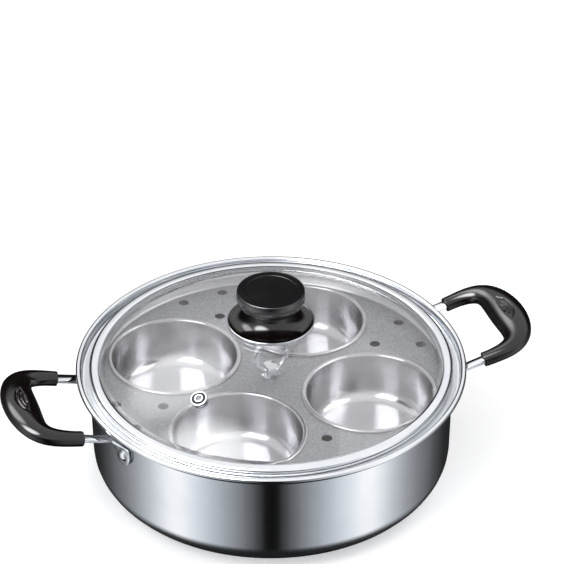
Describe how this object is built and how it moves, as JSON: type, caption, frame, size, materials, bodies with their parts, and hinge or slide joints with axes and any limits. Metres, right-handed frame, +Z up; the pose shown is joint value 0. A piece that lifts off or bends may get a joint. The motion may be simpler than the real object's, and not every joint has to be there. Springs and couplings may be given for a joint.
{
  "type": "egg poacher pan",
  "caption": "Low steel pan with side handles, a lift-out tray of poaching cups, a lift ring and a domed glass lid with a knob.",
  "frame": {"origin": "centre of the flat underside, where the pan stands", "axes": "+Z up along the pan's axis, X through the two handles"},
  "size_m": [0.3588, 0.256, 0.1374],
  "materials": {
    "polished_steel": "mirror-polished stainless steel",
    "satin_steel": "satin stainless steel",
    "blasted_steel": "fine-blasted stainless steel",
    "core_metal": "plain aluminium, sealed in",
    "bright_steel": "bright stainless steel",
    "grip_plastic": "gloss black heat-proof plastic",
    "disc_plastic": "fine matt black plastic",
    "lid_glass": "clear tempered glass",
    "silicone": "pale silicone rubber",
    "brass": "turned brass"
  },
  "bodies": {
    "pan": {"pan_body": "polished_steel", "base_core": "core_metal", "base_cap": "polished_steel", "right_handle_bracket": "bright_steel", "left_handle_bracket": "bright_steel", "right_handle_grip": "grip_plastic", "left_handle_grip": "grip_plastic", "handle_rivets": "bright_steel"},
    "tray": {"tray_plate": "blasted_steel", "ring_stud": "bright_steel", "stud_washer": "bright_steel"},
    "ring": {"lift_ring": "bright_steel"},
    "cup_one": {"cup_1": "satin_steel"},
    "cup_two": {"cup_2": "satin_steel"},
    "cup_three": {"cup_3": "satin_steel"},
    "cup_four": {"cup_4": "satin_steel"},
    "lid": {"lid_glass": "lid_glass", "lid_band": "polished_steel", "vent_eyelet": "bright_steel", "vent_washer": "bright_steel", "knob_body": "grip_plastic", "knob_top_disc": "disc_plastic", "knob_collar": "bright_steel", "knob_skirt": "grip_plastic", "knob_gasket": "silicone", "knob_insert": "brass", "lid_gasket": "silicone", "lid_washer": "bright_steel", "lid_screw": "bright_steel"}
  },
  "joints": [
    {"name": "tray_lift", "type": "slide", "parent": "pan", "child": "tray", "axis": [0, 0, 1], "range_m": [0, 0.05]},
    {"name": "lid_lift", "type": "slide", "parent": "tray", "child": "lid", "axis": [0, 0, 1], "range_m": [0, 0.16]},
    {"name": "ring_swing", "type": "hinge", "parent": "tray", "child": "ring", "pos_m": [0, 0, 0.0732], "axis": [0.9888, 0.1495, 0], "range_deg": [-90, 90]},
    {"name": "cup_one_lift", "type": "slide", "parent": "tray", "child": "cup_one", "axis": [0, 0, 1], "range_m": [0, 0.0065]},
    {"name": "cup_two_lift", "type": "slide", "parent": "tray", "child": "cup_two", "axis": [0, 0, 1], "range_m": [0, 0.0065]},
    {"name": "cup_three_lift", "type": "slide", "parent": "tray", "child": "cup_three", "axis": [0, 0, 1], "range_m": [0, 0.0065]},
    {"name": "cup_four_lift", "type": "slide", "parent": "tray", "child": "cup_four", "axis": [0, 0, 1], "range_m": [0, 0.0065]}
  ]
}
